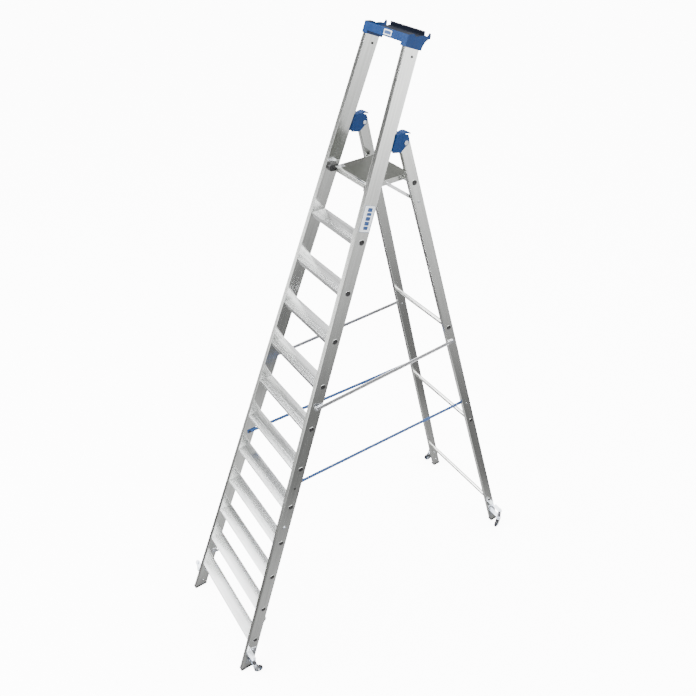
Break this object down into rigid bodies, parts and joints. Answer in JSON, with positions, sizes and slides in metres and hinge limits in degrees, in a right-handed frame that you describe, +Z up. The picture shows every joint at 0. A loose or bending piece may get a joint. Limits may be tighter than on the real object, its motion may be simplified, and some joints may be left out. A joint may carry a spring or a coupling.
{
  "type": "step ladder",
  "caption": "Tall aluminium platform step ladder with a blue tool tray, fold-up platform, side struts, straps and sprung swivel castors.",
  "frame": {"origin": "on the floor, midway between the ladder's sides and midway between its front and back", "axes": "+X to the ladder's right-hand side, +Y from the climbing side to the back, +Z up"},
  "size_m": [0.8626, 2.119, 3.3982],
  "materials": {
    "extruded_aluminium": "satin mill finish with fine lines along the extrusion",
    "bright_aluminium": "bright anodised flat bar and pressings",
    "blue_plastic": "fine-grained injection-moulded plastic",
    "black_plastic": "fine-grained moulded plastic",
    "deck_sheet": "dark non-slip coated sheet with a fine grain",
    "blue_webbing": "plain woven polyester webbing",
    "sole_rubber": "matt moulded rubber",
    "zinc_plated_steel": "bright zinc plating",
    "spring_steel": "dark phosphated spring wire",
    "wheel_plastic": "grey-blue moulded wheel with a dark tread"
  },
  "bodies": {
    "front_frame": {"front_stile_left": "extruded_aluminium", "front_stile_right": "extruded_aluminium", "step_01": "extruded_aluminium", "step_02": "extruded_aluminium", "step_03": "extruded_aluminium", "step_04": "extruded_aluminium", "step_05": "extruded_aluminium", "step_06": "extruded_aluminium", "step_07": "extruded_aluminium", "step_08": "extruded_aluminium", "step_09": "extruded_aluminium", "step_10": "extruded_aluminium", "step_11": "extruded_aluminium", "tool_tray": "blue_plastic", "tray_screws": "zinc_plated_steel", "hinge_bracket_left": "blue_plastic", "hinge_bracket_right": "blue_plastic", "hinge_bolts": "zinc_plated_steel", "platform_hinge_left": "black_plastic", "platform_hinge_right": "black_plastic", "strut_studs": "zinc_plated_steel", "strap_clips": "black_plastic", "strap_left": "blue_webbing", "strap_right": "blue_webbing", "fold_hooks": "zinc_plated_steel", "front_feet": "sole_rubber", "castor_brackets_front": "zinc_plated_steel", "castor_spring_front_left": "spring_steel", "castor_spring_front_right": "spring_steel"},
    "rear_frame": {"rear_leg_left": "extruded_aluminium", "rear_leg_right": "extruded_aluminium", "rear_bar_top": "extruded_aluminium", "rear_bar_upper": "extruded_aluminium", "rear_bar_middle": "extruded_aluminium", "rear_bar_bottom": "extruded_aluminium", "rear_rivets": "zinc_plated_steel", "rear_feet": "sole_rubber", "castor_brackets_rear": "zinc_plated_steel", "castor_spring_rear_left": "spring_steel", "castor_spring_rear_right": "spring_steel"},
    "platform": {"platform_deck": "deck_sheet", "platform_frame": "extruded_aluminium", "platform_corners": "bright_aluminium"},
    "link_left": {"platform_link_left": "bright_aluminium"},
    "link_right": {"platform_link_right": "bright_aluminium"},
    "strut_arm_left": {"strut_left": "bright_aluminium"},
    "strut_arm_right": {"strut_right": "bright_aluminium"},
    "stem_front_left": {"castor_stem_front_left": "zinc_plated_steel"},
    "fork_front_left": {"castor_fork_front_left": "zinc_plated_steel"},
    "wheel_front_left": {"castor_wheel_front_left": "wheel_plastic"},
    "stem_front_right": {"castor_stem_front_right": "zinc_plated_steel"},
    "fork_front_right": {"castor_fork_front_right": "zinc_plated_steel"},
    "wheel_front_right": {"castor_wheel_front_right": "wheel_plastic"},
    "stem_rear_left": {"castor_stem_rear_left": "zinc_plated_steel"},
    "fork_rear_left": {"castor_fork_rear_left": "zinc_plated_steel"},
    "wheel_rear_left": {"castor_wheel_rear_left": "wheel_plastic"},
    "stem_rear_right": {"castor_stem_rear_right": "zinc_plated_steel"},
    "fork_rear_right": {"castor_fork_rear_right": "zinc_plated_steel"},
    "wheel_rear_right": {"castor_wheel_rear_right": "wheel_plastic"}
  },
  "joints": [
    {"name": "rear_frame_fold", "type": "hinge", "parent": "front_frame", "child": "rear_frame", "pos_m": [0, 0.22482, 2.97], "axis": [-1, 0, 0], "range_deg": [0, 36], "deforming": ["strap_left", "strap_right"]},
    {"name": "platform_tilt", "type": "hinge", "parent": "front_frame", "child": "platform", "pos_m": [0, 0.0645, 2.789], "axis": [1, 0, 0], "range_deg": [0, 58.38]},
    {"name": "link_turn_left", "type": "hinge", "parent": "rear_frame", "child": "link_left", "pos_m": [-0.16, 0.30578, 2.672], "axis": [-1, 0, 0], "range_deg": [0, 18.44]},
    {"name": "link_turn_right", "type": "hinge", "parent": "rear_frame", "child": "link_right", "pos_m": [0.16, 0.30578, 2.672], "axis": [-1, 0, 0], "range_deg": [0, 18.44]},
    {"name": "strut_swing_left", "type": "hinge", "parent": "rear_frame", "child": "strut_arm_left", "pos_m": [-0.2416, 0.54623, 1.787], "axis": [0.9976, -0.0112, -0.0681], "range_deg": [0, 96.33]},
    {"name": "strut_swing_right", "type": "hinge", "parent": "rear_frame", "child": "strut_arm_right", "pos_m": [0.2416, 0.54623, 1.787], "axis": [0.9976, 0.0112, 0.0681], "range_deg": [0, 96.33]},
    {"name": "castor_slide_front_left", "type": "slide", "parent": "front_frame", "child": "stem_front_left", "axis": [0, 0, 1], "range_m": [0, 0.008], "stiffness_N_per_m": 3000, "springref_m": -0.004, "deforming": ["castor_spring_front_left"]},
    {"name": "castor_swivel_front_left", "type": "hinge", "parent": "stem_front_left", "child": "fork_front_left", "pos_m": [-0.4125, -0.9825, 0.068], "axis": [0, 0, 1], "continuous": true},
    {"name": "wheel_spin_front_left", "type": "hinge", "parent": "fork_front_left", "child": "wheel_front_left", "pos_m": [-0.41624, -0.96489, 0.028], "axis": [0.9781, 0.2079, 0], "continuous": true},
    {"name": "castor_slide_front_right", "type": "slide", "parent": "front_frame", "child": "stem_front_right", "axis": [0, 0, 1], "range_m": [0, 0.008], "stiffness_N_per_m": 3000, "springref_m": -0.004, "deforming": ["castor_spring_front_right"]},
    {"name": "castor_swivel_front_right", "type": "hinge", "parent": "stem_front_right", "child": "fork_front_right", "pos_m": [0.4125, -0.9825, 0.068], "axis": [0, 0, 1], "continuous": true},
    {"name": "wheel_spin_front_right", "type": "hinge", "parent": "fork_front_right", "child": "wheel_front_right", "pos_m": [0.41624, -0.96489, 0.028], "axis": [0.9781, -0.2079, 0], "continuous": true},
    {"name": "castor_slide_rear_left", "type": "slide", "parent": "rear_frame", "child": "stem_rear_left", "axis": [0, 0, 1], "range_m": [0, 0.008], "stiffness_N_per_m": 3000, "springref_m": -0.004, "deforming": ["castor_spring_rear_left"]},
    {"name": "castor_swivel_rear_left", "type": "hinge", "parent": "stem_rear_left", "child": "fork_rear_left", "pos_m": [-0.3925, 1.0185, 0.068], "axis": [0, 0, 1], "continuous": true},
    {"name": "wheel_spin_rear_left", "type": "hinge", "parent": "fork_rear_left", "child": "wheel_rear_left", "pos_m": [-0.39806, 1.00138, 0.028], "axis": [-0.9511, 0.309, 0], "continuous": true},
    {"name": "castor_slide_rear_right", "type": "slide", "parent": "rear_frame", "child": "stem_rear_right", "axis": [0, 0, 1], "range_m": [0, 0.008], "stiffness_N_per_m": 3000, "springref_m": -0.004, "deforming": ["castor_spring_rear_right"]},
    {"name": "castor_swivel_rear_right", "type": "hinge", "parent": "stem_rear_right", "child": "fork_rear_right", "pos_m": [0.3925, 1.0185, 0.068], "axis": [0, 0, 1], "continuous": true},
    {"name": "wheel_spin_rear_right", "type": "hinge", "parent": "fork_rear_right", "child": "wheel_rear_right", "pos_m": [0.39806, 1.00138, 0.028], "axis": [-0.9511, -0.309, 0], "continuous": true}
  ],
  "couplings": [
    {"joint": "platform_tilt", "follows": "rear_frame_fold", "ratio": 1.616},
    {"joint": "link_turn_left", "follows": "rear_frame_fold", "ratio": 0.50667},
    {"joint": "link_turn_right", "follows": "rear_frame_fold", "ratio": 0.50667},
    {"joint": "strut_swing_left", "follows": "rear_frame_fold", "ratio": 2.6703},
    {"joint": "strut_swing_right", "follows": "rear_frame_fold", "ratio": 2.6703}
  ]
}
